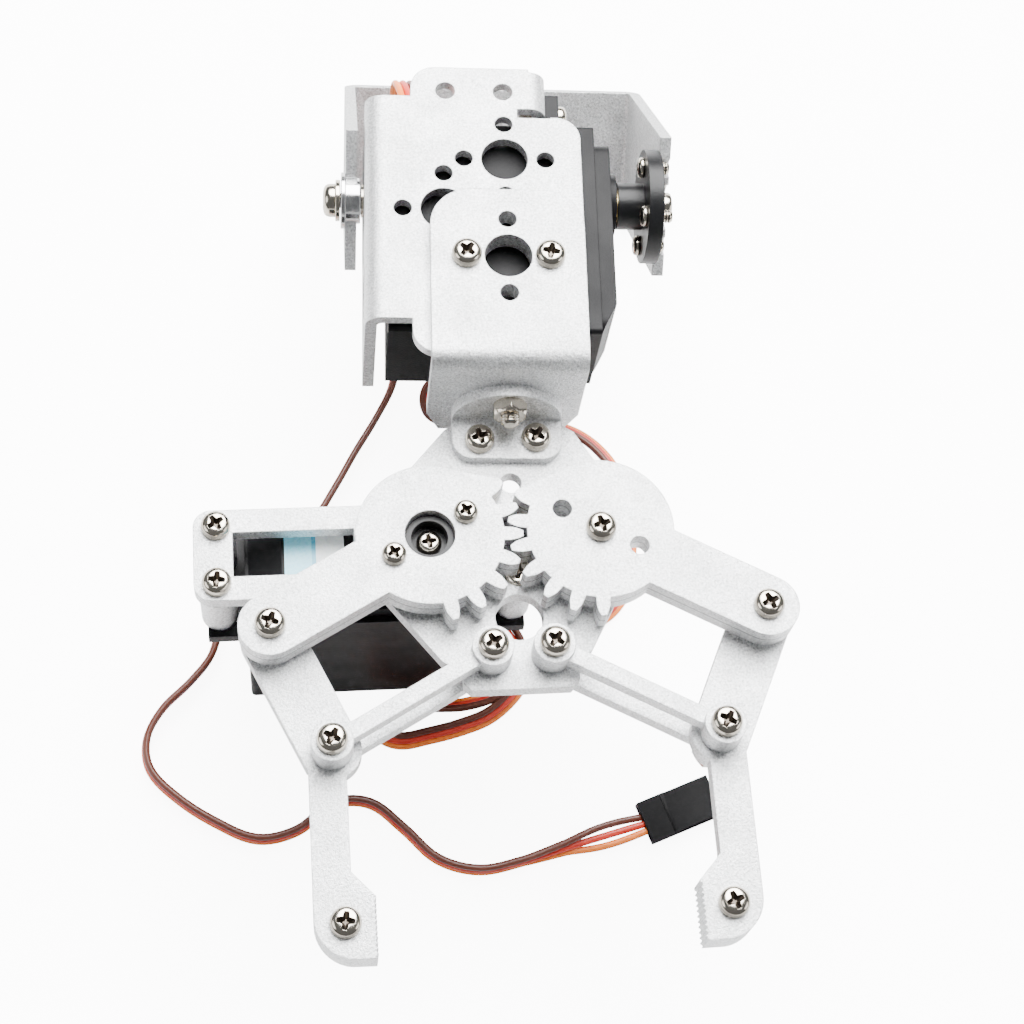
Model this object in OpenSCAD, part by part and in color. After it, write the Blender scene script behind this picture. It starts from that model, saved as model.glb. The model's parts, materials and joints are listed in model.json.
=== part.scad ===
// Desktop robot arm: a U bracket, a servo in a multi-purpose bracket, an L bracket and a
// geared parallel gripper driven by a second servo. It lies at rest on the grip servo's
// case and on the U bracket's lower edge. +Z is up and the claws point along -Y.

/* [Sheet metal] */
// Thickness of the bent aluminium brackets
sheet = 2; // [1.8:0.1:2.2]
// Thickness of the claw's base plate and fingers
plate_t = 3; // [2.8:0.1:3]
// Radius on the outside of each bend
bend_r = 3; // [2.6:0.1:3.2]

/* [U bracket] */
// Width over the two legs
u_width = 57; // [57:0.1:57.4]
// Width of the bent strip
u_strip = 25; // [24:0.5:26]
// Distance from the pivot to the outside of the base
u_reach = 44.7; // [43:0.1:47]
// Angle of the legs below the arm's own plane
u_angle = 45.8; // [40:0.2:50]
// Sideways offset of the U bracket from the arm's centre line
u_x = 1.5; // [1.5:0.1:1.6]

/* [Hole pattern] */
// Diameter of a pattern's centre hole
centre_hole = 8; // [7:0.1:8.2]
// Diameter of the small holes
small_hole = 3.1; // [3:0.05:3.2]
// Diameter of the circle the small holes lie on
pattern_pcd = 14; // [14:0.1:14.2]

/* [Servo] */
// Length of the case
servo_l = 40.7; // [40.2:0.1:40.8]
// Width of the case
servo_w = 19.7; // [19.2:0.1:19.8]
// Length over the two ears
servo_ears = 53.6; // [53:0.1:53.8]
// Distance between the ear holes along the case
ear_pitch = 49.5; // [49.4:0.1:49.6]
// Distance between the two holes in one ear
ear_gauge = 10; // [9.8:0.1:10.2]
// Distance from the output shaft to the near end of the case
shaft_inset = 10.2; // [10.1:0.1:10.3]

/* [Gripper] */
// Teeth on a full circle of each gear
teeth = 19; // [19:1:19]
// Distance between the two gear centres
gear_centres = 28.2; // [28.2:0.1:28.4]
// Length of each gear arm and link, from pin to pin
arm_l = 30.2; // [30:0.1:30.4]
// Angle of the gear arms in front of the gears' centre line
arm_angle = 29; // [28:0.5:30]
// Sideways distance from a gear's centre to its link's base pin
rocker_x = 9.1; // [9:0.1:9.2]
// Forward distance from a gear's centre to its link's base pin
rocker_y = 19.5; // [19.4:0.1:19.7]
// Turn of the whole claw on its two bracket screws
claw_turn = 2.6; // [2:0.1:3]

/* [Hidden] */
$fn = 48;

aluminium = [0.86, 0.87, 0.88];
black = [0.09, 0.09, 0.1];
nickel = [0.78, 0.76, 0.7];
wire_red = [0.72, 0.24, 0.13];

// Small common sizes
eps = 0.02;
m3_r = 1.5;
m3_head_r = 2.5;
m3_head_h = 2;
m3_nut_r = 3.17;
m3_nut_h = 2.4;
fit_gap = 0.06;

// ---- Servo frame: shaft along +Z, z = 0 at the underside of the ears, case towards +X
ear_t = 2.5;
case_below = 27.5;
lid_split = 20;
case_low_top = 4;
case_full_top = 8.4;
case_raised_top = 11.2;
boss_top = 12.7;
boss_r = 5.6;
case_x0 = -shaft_inset;
case_x1 = servo_l - shaft_inset;
case_mid = (case_x0 + case_x1) / 2;
ear_x = [case_mid - ear_pitch / 2, case_mid + ear_pitch / 2];
shaft_r = 2.9;
wall = 1.6;
ear_hole_r = 2.2;

// ---- Arm frame: origin on the shoulder axis, +Z out of the main plate, +Y to the rear
plate_top = 13;
flange_drop = 25.5;
bracket_left = -23.8;
bracket_right = 13.2;
bracket_rear = 19.4;
bracket_front = -36.2;
tab_left = -16;
servo_seat = 7.6;
p1 = [0, 1];
p2 = [-10.5, -9];
p3 = [0, -19];
l_front = -39.2;
l_rear = -6.2;
l_half = 13;
l_drop = 25;
wrist_x = 0.5;
wrist_z = 4;
horn_face = u_x + u_width / 2 - sheet;
horn_disc_t = 2.6;
horn_hub_t = 4.6;
horn_r = 10;

// ---- Claw frame: z = 0 on top of the base plate, x = y = 0 midway between the gears
claw_x = 1.1;
claw_y = -63.3;
claw_z = -4;
gear_x = gear_centres / 2;
gear_z = 1;
gear_t = 5;
gear_m = gear_centres / teeth;
gear_tip = gear_centres / 2 + 0.85 * gear_m;
gear_root = gear_centres / 2 - 1.25 * gear_m;
gear_base = gear_centres / 2 * cos(20);
backlash = 0.3;
grip_servo_z = -16.5;
knuckle = [-gear_x - arm_l * cos(arm_angle), -arm_l * sin(arm_angle)];
base_pin = [-gear_x + rocker_x, -rocker_y];
finger_pin = knuckle + [rocker_x, -rocker_y];
tip_pin = finger_pin + [1, -27.8];
link_low = -8.4;
link_t = 3;
eye_r = 3.4;

// ---- Rest pose: the line from the U bracket's lower edge to the grip servo's rear edge is level
u_low = [u_reach * cos(u_angle) - u_strip / 2 * sin(u_angle),
         -u_reach * sin(u_angle) - u_strip / 2 * cos(u_angle)];
servo_low = [claw_y + servo_w / 2, claw_z + grip_servo_z - case_below];
rest_tilt = atan2(u_low[1] - servo_low[1], u_low[0] - servo_low[0]);
rest_height = -(servo_low[1] * cos(rest_tilt) - servo_low[0] * sin(rest_tilt));
// Moves the footprint's centre to the origin
row_shift = [2.22, 47.41];

module place_arm() {
    translate([row_shift[0], row_shift[1], rest_height]) rotate([-rest_tilt, 0, 0]) children();
}

module place_u() {
    place_arm() translate([u_x, 0, 0]) rotate([-u_angle, 0, 0]) children();
}

module place_claw() {
    place_arm() translate([claw_x, claw_y, claw_z]) rotate([0, 0, claw_turn]) children();
}

module place_shoulder_servo() {
    place_arm() translate([servo_seat, 0, 0]) rotate([-90, 0, 0]) rotate([0, 90, 0]) children();
}

module place_grip_servo() {
    place_claw() translate([-gear_x, 0, grip_servo_z]) rotate([0, 0, 180]) children();
}

module place_both_servos() {
    place_shoulder_servo() children();
    place_grip_servo() children();
}

// ---- Shapes used again and again

// Pan head screw: z = 0 under the head, shank down
module pan_screw(len, r = m3_r, head_r = m3_head_r, head_h = m3_head_h) {
    corner = min(0.7, 0.45 * head_h);
    translate([0, 0, -len]) cylinder(r = r, h = len + eps);
    rotate_extrude() difference() {
        union() {
            square([head_r - corner, head_h]);
            square([head_r, head_h - corner]);
            translate([head_r - corner, head_h - corner]) circle(r = corner);
        }
        translate([-10, -1]) square([10, 10]);
    }
}

module hex_nut(r = m3_nut_r, h = m3_nut_h, bore = m3_r) {
    difference() {
        cylinder(r = r, h = h, $fn = 6);
        translate([0, 0, -1]) cylinder(r = bore, h = h + 2);
    }
}

module washer(r, h, bore) {
    difference() {
        cylinder(r = r, h = h);
        translate([0, 0, -1]) cylinder(r = bore, h = h + 2);
    }
}

// Rectangle from a to b with round corners
module round_rect(a, b, r) {
    translate([a[0] + r, a[1]]) square([b[0] - a[0] - 2 * r, b[1] - a[1]]);
    translate([a[0], a[1] + r]) square([b[0] - a[0], b[1] - a[1] - 2 * r]);
    for (x = [a[0] + r, b[0] - r], y = [a[1] + r, b[1] - r]) translate([x, y]) circle(r = r);
}

// Four small holes round a larger one
module pattern_holes(h) {
    translate([0, 0, -h / 2]) cylinder(d = centre_hole, h = h);
    for (a = [0:90:270]) rotate([0, 0, a]) translate([pattern_pcd / 2, 0, -h / 2])
        cylinder(d = small_hole, h = h);
}

// Section of a right-angle bend: the outer corner is at the origin, legs along -X and -Y
module bend_section(leg_x, leg_y, t = sheet) {
    difference() {
        union() {
            translate([-leg_x, -t]) square([leg_x - bend_r, t]);
            translate([-t, -leg_y]) square([t, leg_y - bend_r]);
            translate([-bend_r, -bend_r]) intersection() {
                circle(r = bend_r);
                square(bend_r);
            }
        }
        translate([-bend_r, -bend_r]) circle(r = bend_r - t);
    }
}

// Rounds the corner of a flat strip: the waste outside a quarter circle
module corner_waste(r, h) {
    translate([0, 0, -h / 2]) difference() {
        translate([-1, -1, 0]) cube([r + 1, r + 1, h]);
        translate([r, r, -1]) cylinder(r = r, h = h + 2);
    }
}

// ---- U bracket

module u_section() {
    for (side = [-1, 1]) scale([side, 1]) translate([u_width / 2, 0])
        bend_section(u_width / 2, u_reach);
}

module u_bracket() color(aluminium) place_u() difference() {
    intersection() {
        translate([0, u_reach, -u_strip / 2]) linear_extrude(u_strip) u_section();
        union() {
            rotate([0, 90, 0]) cylinder(d = u_strip, h = 2 * u_width, center = true);
            translate([-u_width, 0, -u_strip / 2]) cube([2 * u_width, u_reach + 1, u_strip]);
        }
    }
    // holes in the two legs: horn pattern on the right, bearing seat on the left
    translate([u_width / 2, 0, 0]) rotate([0, 90, 0]) pattern_holes(3 * sheet);
    translate([-u_width / 2, 0, 0]) rotate([0, 90, 0]) cylinder(r = 4, h = 3 * sheet, center = true);
    // mounting patterns in the base
    translate([0, u_reach, 0]) rotate([90, 0, 0]) pattern_holes(3 * sheet);
    for (x = [-19, 19]) translate([x, u_reach, 0]) rotate([90, 0, 0])
        cylinder(d = small_hole, h = 3 * sheet, center = true);
    // lightening hole in each leg, between the pivot and the base
    for (x = [-u_width / 2, u_width / 2]) translate([x, 24, 0]) rotate([0, 90, 0])
        cylinder(d = centre_hole, h = 3 * sheet, center = true);
}

// ---- Shoulder joint

// Round servo horn: z = 0 on the outer face of its disc, hub towards -Z
module horn(disc_r, disc_t, hub_r, hub_t, bore) {
    difference() {
        union() {
            translate([0, 0, -disc_t]) cylinder(r = disc_r, h = disc_t);
            translate([0, 0, -disc_t - hub_t]) cylinder(r = hub_r, h = hub_t + eps);
        }
        translate([0, 0, -disc_t - hub_t - 1]) cylinder(r = bore, h = hub_t + 2.2);
        translate([0, 0, -disc_t - 1]) cylinder(r = 1.4, h = disc_t + 2);
        for (a = [0:90:270]) rotate([0, 0, a]) translate([pattern_pcd / 2, 0, -disc_t - 1])
            cylinder(r = 1.2, h = disc_t + 2);
    }
}

module place_horn() {
    place_u() translate([horn_face - u_x, 0, 0]) rotate([0, 90, 0]) children();
}

module shoulder_horn() color(black) place_horn()
    horn(horn_r, horn_disc_t, 4.1, horn_hub_t, shaft_r + 0.02);

module shoulder_horn_screws() color(nickel) place_horn()
    for (a = [0:90:270]) rotate([0, 0, a]) translate([pattern_pcd / 2, 0, -horn_disc_t])
        rotate([180, 0, 0]) pan_screw(horn_disc_t + sheet - 0.2, 1.18, 1.8, 1.2);

module shoulder_center_screw() color(nickel) place_horn() {
    translate([0, 0, 0.8]) cylinder(r = 2.6, h = 1.8);
    translate([0, 0, -5.5]) cylinder(r = 1.4, h = 6.5);
    cylinder(r = 3.6, h = 0.8 + eps);
}

// Splined output shaft with its last gear wheel inside the case
module output_shaft(top) {
    translate([0, 0, 4.2]) cylinder(r = shaft_r, h = top - 4.2);
    translate([0, 0, 4.2]) cylinder(r = 6.6, h = 2.6);
}

module shoulder_shaft() color(nickel) place_u() rotate([u_angle, 0, 0])
    translate([servo_seat - u_x, 0, 0]) rotate([-90, 0, 0]) rotate([0, 90, 0])
    difference() {
        output_shaft(17);
        translate([0, 0, 14]) cylinder(r = 1.4, h = 5);
    }

// Flanged ball bearing pressed into the left leg, z = 0 on the leg's outer face, flange outside
pivot_bore = 1.5 + fit_gap;
module pivot_bearing() color(nickel) place_u() translate([-u_width / 2, 0, 0]) rotate([0, -90, 0])
    difference() {
        union() {
            cylinder(r = 4.9, h = 0.8);
            translate([0, 0, -2.6]) cylinder(r = 3.98, h = 2.6 + eps);
        }
        translate([0, 0, -4]) cylinder(r = pivot_bore, h = 8);
    }

// ---- Arm: multi-purpose bracket and its servo

module multi_plate_outline() {
    difference() {
        polygon([
            [bracket_left + bend_r, 13.4], [tab_left, 13.4], [tab_left, bracket_rear],
            [servo_seat - bend_r, bracket_rear], [servo_seat - bend_r, 9.6],
            [bracket_right, 9.6], [bracket_right, bracket_front],
            [tab_left, bracket_front], [tab_left, -30],
            [bracket_left + bend_r, -30]
        ]);
        for (c = [[tab_left, bracket_front, 0], [bracket_right, 9.6, 180],
                  [tab_left, bracket_rear, -90]])
            translate([c[0], c[1]]) rotate(c[2]) difference() {
                translate([-1, -1]) square(4.2 + 1);
                translate([4.2, 4.2]) circle(r = 4.2);
            }
    }
}

// Flange that carries two servo ear screws, from y0 to y1
module ear_flange(y0, y1) {
    translate([servo_seat, y1, plate_top]) rotate([90, 0, 0]) linear_extrude(y1 - y0)
        bend_section(bend_r + 1, flange_drop - 0.5);
}

// The servo hangs in the window between the bracket's two ear flanges
module multi_bracket() color(aluminium) place_arm() difference() {
    union() {
        translate([0, 0, plate_top - sheet]) linear_extrude(sheet) multi_plate_outline();
        translate([bracket_left, 13.4, plate_top]) rotate([90, 0, 0]) linear_extrude(43.4)
            scale([-1, 1]) bend_section(bend_r + 1, flange_drop);
        ear_flange(11, bracket_rear - 0.6);
        ear_flange(bracket_front, -31.2);
    }
    // the case end stands clear of the front flange's root, and the relief slot opens the rear one
    translate([2.4, 9.4, plate_top - 4]) cube([servo_seat - 2.4 + 0.6, 1.8, 5]);
    for (p = [p1, p2, p3]) translate([p[0], p[1], plate_top]) pattern_holes(3 * sheet);
    for (x = [-10, 0]) translate([x, 14.6, plate_top - 2 * sheet]) cylinder(d = 3.4, h = 3 * sheet);
    for (y = [-ear_x[0], -ear_x[1]], z = [-1, 1])
        translate([servo_seat, y, z * ear_gauge / 2]) rotate([0, 90, 0])
            cylinder(r = ear_hole_r - 0.4, h = 3 * sheet, center = true);
    // pivot hole and a small hole pattern in the left flange
    translate([bracket_left, 0, 0]) rotate([0, 90, 0]) cylinder(r = m3_r, h = 3 * sheet, center = true);
    translate([bracket_left, -19, 0]) rotate([0, 90, 0]) pattern_holes(3 * sheet);
}

pivot_head_x = u_x - u_width / 2 - 0.8 - 0.15 - 0.8;
module pivot_screw() color(nickel) place_arm() translate([pivot_head_x, 0, 0]) rotate([0, -90, 0])
    pan_screw(servo_seat - case_below - 0.2 - pivot_head_x, m3_r, 2.9, 2.2);

module pivot_washer() color(nickel) place_arm() translate([pivot_head_x, 0, 0]) rotate([0, 90, 0])
    washer(3.6, 0.8, m3_r);

spacer_x = u_x - u_width / 2 + sheet + 0.75;
module pivot_spacer() color(nickel) place_arm() translate([spacer_x, 0, 0])
    rotate([0, 90, 0]) washer(2.9, bracket_left - spacer_x, m3_r);

module pivot_nut() color(nickel) place_arm() translate([bracket_left + sheet, 0, 0])
    rotate([0, 90, 0]) hex_nut(2.75, 1.5);

// ---- Servo case in three pieces

module case_block(z0, z1, x1 = case_x1) {
    translate([0, 0, z0]) linear_extrude(z1 - z0)
        round_rect([case_x0, -servo_w / 2], [x1, servo_w / 2], 0.8);
}

module case_hollow(z0, z1) {
    translate([case_x0 + wall, -servo_w / 2 + wall, z0])
        cube([servo_l - 2 * wall, servo_w - 2 * wall, z1 - z0]);
}

case_screw_at = [for (x = [case_x0 + 2.3, case_x1 - 2.3], y = [-1, 1]) [x, y * (servo_w / 2 - 2.3)]];

module case_posts(z0, z1) {
    for (p = case_screw_at) translate([p[0], p[1], z0]) cylinder(r = 1.9, h = z1 - z0);
}

screw_sink = 1.2;
module case_screw_bores(r, z0, z1) {
    for (p = case_screw_at) translate([p[0], p[1], z0]) cylinder(r = r, h = z1 - z0);
}

lead_z = -lid_split - 2.4;
lead_hole_r = 1.6;
module lead_hole() {
    translate([case_x0 - 1, 0, lead_z]) rotate([0, 90, 0]) cylinder(r = lead_hole_r, h = wall + 2);
}

module servo_case_bottom() {
    difference() {
        union() {
            difference() {
                case_block(-case_below, -lid_split);
                case_hollow(-case_below + wall, -lid_split + 1);
            }
            case_posts(-case_below, -lid_split);
        }
        case_screw_bores(1.05, -case_below - 1, -lid_split + 1);
        case_screw_bores(1.8, -case_below - 1, -case_below + screw_sink);
        lead_hole();
    }
}

module servo_case_middle() {
    difference() {
        union() {
            difference() {
                union() {
                    case_block(-lid_split, case_low_top);
                    translate([case_mid - servo_ears / 2, -9.2, 0]) cube([servo_ears, 18.4, ear_t]);
                }
                case_hollow(-lid_split - 1, case_low_top + 1);
            }
            case_posts(-lid_split, case_low_top);
            // deck between the motor bay and the gears
            translate([case_x0 + 1, -servo_w / 2 + 1, 2.2]) cube([servo_l - 2, servo_w - 2, 1.4]);
        }
        case_screw_bores(1.05, -lid_split - 1, case_low_top + 1);
        for (x = ear_x, y = [-1, 1]) translate([x, y * ear_gauge / 2, -1]) cylinder(r = ear_hole_r, h = 5);
        // the motor's pinion and the sensor's stem pass through the deck
        translate([case_x1 - 9.5, 0, 0]) cylinder(r = 3.2, h = 6);
        cylinder(r = 3.2, h = 6);
    }
}

raised_x1 = 24.3;
gear_bay_x0 = case_x0 + 2.6;

// Raised part over the gears, flat to raised_x1 and then sloping down to the far end
module case_raised() {
    intersection() {
        translate([0, 0, case_full_top - eps]) linear_extrude(case_raised_top - case_full_top + eps)
            round_rect([case_x0 + 2, -servo_w / 2 + 1.2], [case_x1 - 0.6, servo_w / 2 - 1.2], 3);
        rotate([90, 0, 0]) linear_extrude(servo_w, center = true) polygon([
            [case_x0, case_full_top - 1], [case_x1 - 0.6, case_full_top - 1],
            [case_x1 - 0.6, case_full_top], [raised_x1, case_raised_top], [case_x0, case_raised_top]
        ]);
    }
}

module servo_case_top() {
    difference() {
        union() {
            difference() {
                union() {
                    case_block(case_low_top, case_full_top);
                    case_raised();
                }
                translate([gear_bay_x0, -servo_w / 2 + 2.4, case_low_top - 1])
                    cube([raised_x1 - 1.6 - gear_bay_x0, servo_w - 4.8,
                          case_raised_top - 0.2 - case_low_top]);
                translate([raised_x1 - 4, -servo_w / 2 + 2.4, case_low_top - 1])
                    cube([case_x1 - raised_x1, servo_w - 4.8, case_full_top - 0.2 - case_low_top]);
            }
            case_posts(case_low_top, case_full_top - 0.2);
            translate([0, 0, case_raised_top - eps]) cylinder(r = boss_r, h = boss_top - case_raised_top);
        }
        case_screw_bores(1.05, case_low_top - 1, case_full_top - 1.4);
        translate([0, 0, case_low_top]) cylinder(r = shaft_r + fit_gap, h = 12);
    }
}

module shoulder_case_bottom() color(black) place_shoulder_servo() servo_case_bottom();
module shoulder_case_middle() color(black) place_shoulder_servo() servo_case_middle();
module shoulder_case_top() color(black) place_shoulder_servo() servo_case_top();
module grip_case_bottom() color(black) place_grip_servo() servo_case_bottom();
module grip_case_middle() color(black) place_grip_servo() servo_case_middle();
module grip_case_top() color(black) place_grip_servo() servo_case_top();

module grip_label() color([0.4, 0.75, 0.85]) place_grip_servo()
    translate([13.8, -6.6, case_raised_top]) cube([10, 13.2, 0.1]);

// ---- Inside each servo

motor_x = case_x1 - 9.5;
module servo_motors() color(nickel) place_both_servos() {
    translate([motor_x, 0, -17.6]) cylinder(r = 7.6, h = 19.6);
    translate([motor_x, 0, 2]) cylinder(r = 1, h = 5);
}

// Two wheels between the motor's pinion and the output wheel
module servo_gears() color(nickel) place_both_servos() {
    for (g = [[13.2, 4.2, 2.9, 8.3], [8.4, -3.2, 3.8, 7.2]]) translate([g[0], g[1], 0]) {
        translate([0, 0, g[3]]) cylinder(r = g[2], h = 0.9);
        translate([0, 0, 3.7]) cylinder(r = 0.8, h = 5.8);
    }
}

module servo_boards() color([0.1, 0.35, 0.16]) place_both_servos()
    translate([case_x0 + 4.4, -servo_w / 2 + 4.4, -24.6]) cube([servo_l - 8.8, servo_w - 8.8, 1.2]);

module servo_potentiometers() color([0.3, 0.4, 0.6]) place_both_servos() {
    translate([0, 0, -6.5]) cylinder(r = 5.2, h = 8.4);
    translate([0, 0, 1.9]) cylinder(r = 1.4, h = 2.2);
}

module servo_case_screws() color(nickel) place_both_servos()
    for (p = case_screw_at) translate([p[0], p[1], -case_below]) {
        cylinder(r = 1.7, h = screw_sink);
        translate([0, 0, screw_sink - eps]) cylinder(r = 1, h = 32.4);
    }

// ---- Screws and nuts of the shoulder servo's ears

module ear_screws() color(nickel) place_arm()
    for (y = [-ear_x[0], -ear_x[1]], z = [-1, 1])
        translate([servo_seat + ear_t, y, z * ear_gauge / 2]) rotate([0, 90, 0])
            pan_screw(ear_t + sheet + 2.2, m3_r, 2.2, 1.8);

module ear_nuts() color(nickel) place_arm()
    for (y = [-ear_x[0], -ear_x[1]], z = [-1, 1])
        translate([servo_seat - sheet, y, z * ear_gauge / 2]) rotate([0, -90, 0])
            hex_nut(2.4, 2.2);

// ---- L bracket

module l_bracket() color(aluminium) place_arm() difference() {
    translate([-l_half, l_front, plate_top + sheet]) rotate([90, 0, 90])
        linear_extrude(2 * l_half) l_section();
    for (s = [-1, 1]) translate([s * l_half, l_rear, plate_top + sheet / 2])
        rotate([0, 0, s > 0 ? 180 : -90])
        corner_waste(7, 3 * sheet);
    for (s = [-1, 1]) translate([s * l_half, l_front, plate_top + sheet - l_drop]) rotate([90, 0, 0])
        linear_extrude(6 * sheet, center = true)
            polygon([[-s * 2.6, -1], [s, -1], [s, 6], [0, 6]]);
    translate([p3[0], p3[1], plate_top + sheet]) pattern_holes(3 * sheet);
    translate([wrist_x, l_front, wrist_z]) rotate([90, 0, 0])
        cylinder(r = m3_r + 0.02, h = 3 * sheet, center = true);
}

// The outer corner is at the origin: first leg to the rear, second leg down
module l_section() {
    mirror([1, 0]) bend_section(l_rear - l_front, l_drop);
}

module l_bracket_screws() color(nickel) place_arm()
    for (s = [-1, 1]) translate([p3[0] + s * pattern_pcd / 2, p3[1], plate_top + sheet]) pan_screw(5);

module l_bracket_nuts() color(nickel) place_arm()
    for (s = [-1, 1]) translate([p3[0] + s * pattern_pcd / 2, p3[1], plate_top - sheet - 1]) hex_nut(2.9, 1);

// ---- Wrist

wrist_r = 9.35;
wrist_depth = 9.2;
wrist_base = claw_z;
module wrist_bracket() color(aluminium) place_arm() translate([wrist_x, l_front, wrist_base]) difference() {
    union() {
        translate([0, 0, sheet - eps]) intersection() {
            rotate([90, 0, 0]) cylinder(r = wrist_r, h = sheet);
            translate([-wrist_r, -sheet, 0]) cube([2 * wrist_r, sheet, wrist_r]);
        }
        translate([-wrist_r, -wrist_depth, 0]) cube([2 * wrist_r, wrist_depth, sheet]);
    }
    for (s = [-1, 1]) translate([s * wrist_r, -wrist_depth, 0]) rotate([0, 0, s > 0 ? 90 : 0])
        corner_waste(3.5, 3 * sheet);
    translate([0, 0, wrist_z - wrist_base]) rotate([90, 0, 0])
        cylinder(r = m3_r + 0.02, h = 3 * sheet, center = true);
    place_on_wrist() translate([0, 0, -sheet]) cylinder(r = m3_r + 0.25, h = 3 * sheet);
}

// The claw's two bracket screws, seen from the wrist bracket's own frame
module place_on_wrist() {
    translate([claw_x - wrist_x, claw_y - l_front, claw_z - wrist_base]) rotate([0, 0, claw_turn])
        for (s = [-1, 1]) translate([0.3 + s * 4.8, wrist_screw_y, 0]) children();
}

wrist_screw_y = 18.4;
module wrist_bracket_screws() color(nickel) place_claw()
    for (s = [-1, 1]) translate([0.3 + s * 4.8, wrist_screw_y, sheet]) pan_screw(8);

module wrist_bolt() color(nickel) place_arm() translate([wrist_x, l_front + sheet, wrist_z])
    rotate([-90, 0, 0]) pan_screw(8, m3_r, 2.8, 1.1);

module wrist_nut() color(nickel) place_arm() translate([wrist_x, l_front - sheet, wrist_z])
    rotate([90, 0, 0]) rotate([0, 0, 30]) hex_nut();

// ---- Claw base plate

claw_left = -52.8;
frame_r = 3;
frame_half = 8;
window = [[-46.3, -3.9], [-26.3, 3.9]];
module claw_plate_outline() {
    difference() {
        polygon(concat(
            arc([claw_left + frame_r, frame_half - frame_r], frame_r, 90, 180, 8),
            arc([claw_left + frame_r, frame_r - frame_half], frame_r, 180, 270, 8),
            [[-22, -8], [-21.6, -8.7], [-12.9, -20.1], [-9.7, -22], [-9.7, -24], [-8.4, -25.3],
             [8, -25.3], [9.3, -24], [9.3, -21.6], [11.8, -18.9], [16.2, -11.2], [18, -6],
             [18.6, 0], [17.5, 8], [15, 15], [11.9, 20.4], [7.5, 23.4], [-7, 23.4],
             [-10.2, 21.4], [-15.7, 15.2], [-22, frame_half]]
        ));
        translate(window[0]) square(window[1] - window[0]);
    }
}

module claw_plate() color(aluminium) place_claw() difference() {
    translate([0, 0, -plate_t]) linear_extrude(plate_t) claw_plate_outline();
    // clearance for the grip servo's horn
    translate([-gear_x, 0, -plate_t - 1]) cylinder(r = 9.1, h = plate_t + 2);
    translate([0.5, 11.2, -plate_t - 1]) cylinder(r = 1.8, h = plate_t + 2);
    translate([0.2, -12.9, -plate_t - 1]) cylinder(r = 4, h = plate_t + 2);
    for (x = ear_x, y = [-1, 1]) translate([-gear_x - x, y * ear_gauge / 2, -plate_t - 1])
        cylinder(r = m3_r + 0.02, h = plate_t + 2);
    translate([gear_x, 0, -plate_t - 1]) cylinder(r = m3_r + 0.02, h = plate_t + 2);
    for (s = [-1, 1]) translate([s * base_pin[0], base_pin[1], -plate_t - 1])
        cylinder(r = m3_r + 0.02, h = plate_t + 2);
    for (s = [-1, 1]) translate([0.3 + s * 4.8, wrist_screw_y, -plate_t - 1])
        cylinder(r = m3_r + 0.02, h = plate_t + 2);
}

// Nuts under the base plate: two at the wrist bracket, one at the right gear
module plate_nuts() color(nickel) place_claw() {
    for (s = [-1, 1]) translate([0.3 + s * 4.8, wrist_screw_y, -plate_t - m3_nut_h]) hex_nut();
    translate([gear_x, 0, -plate_t - m3_nut_h]) hex_nut();
}

standoff_l = -plate_t - (grip_servo_z + ear_t);
module claw_standoffs() color(aluminium) place_claw()
    for (x = ear_x, y = [-1, 1]) translate([-gear_x - x, y * ear_gauge / 2, -plate_t - standoff_l])
        washer(3.1, standoff_l, m3_r);

// The two screws under the gears have low heads
low_head_h = 0.8;
module claw_mount_screws() color(nickel) place_claw()
    for (x = ear_x, y = [-1, 1]) translate([-gear_x - x, y * ear_gauge / 2, 0])
        pan_screw(plate_t + 4.5, m3_r, 2.4, x > 0 ? m3_head_h : low_head_h);

module claw_ear_screws() color(nickel) place_claw()
    for (x = ear_x, y = [-1, 1]) translate([-gear_x - x, y * ear_gauge / 2, grip_servo_z])
        rotate([180, 0, 0]) pan_screw(ear_t + 5);

// ---- Gears

function involute(rb, r) = let(t = sqrt(r * r / (rb * rb) - 1)) t * 180 / PI - atan(t);

// Half the angle that a tooth fills at radius r, in degrees
function half_tooth(r) = 90 / teeth - backlash / 2 / (gear_centres / 2) * 180 / PI
    + involute(gear_base, gear_centres / 2) - involute(gear_base, max(r, gear_base));

flank_r = [for (i = [0:4]) gear_base + (gear_tip - gear_base) * i / 4];

function arc(c, r, a0, a1, n) = [for (i = [0:n]) let(a = a0 + (a1 - a0) * i / n) c + r * [cos(a), sin(a)]];

// Outline of one tooth that points along the angle c, from root to root
function tooth_points(c) = concat(
    [for (r = flank_r) let(a = c - half_tooth(r)) r * [cos(a), sin(a)]],
    [for (i = [len(flank_r) - 1:-1:0]) let(a = c + half_tooth(flank_r[i])) flank_r[i] * [cos(a), sin(a)]]
);

tooth_pitch = 360 / teeth;
left_phase = -1.7;
first_i = -4;
last_i = 2;
arm_root_r = 5.2;
arm_tip_r = 5.2;
side_lean = acos((arm_root_r - arm_tip_r) / arm_l);
arm_meets = side_lean - acos(arm_root_r / gear_root);
foot = half_tooth(gear_base) + 0.6;
// The last tooth's back runs into the disc along a tangent
last_tangent = half_tooth(gear_tip) + acos(gear_root / gear_tip);

// Gear arm outline about its own centre: teeth towards +X, a tapered arm towards -X and the front
module gear_outline(phase) {
    start = arm_angle - 180 + arm_meets;
    end = 180 + arm_angle - arm_meets;
    polygon(concat(
        arc([0, 0], gear_root, start, phase + first_i * tooth_pitch - foot, 6),
        [for (i = [first_i:last_i]) let(c = phase + i * tooth_pitch) each concat(
            i < last_i ? tooth_points(c) : [for (k = [0:len(flank_r)]) tooth_points(c)[k]],
            i < last_i ? arc([0, 0], gear_root, c + foot, c + tooth_pitch - foot, 2) : [])],
        arc([0, 0], gear_root, phase + last_i * tooth_pitch + last_tangent, end, 24),
        arc(knuckle + [gear_x, 0], arm_tip_r, 180 + arm_angle - side_lean, 180 + arm_angle + side_lean, 24)
    ));
}

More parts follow.
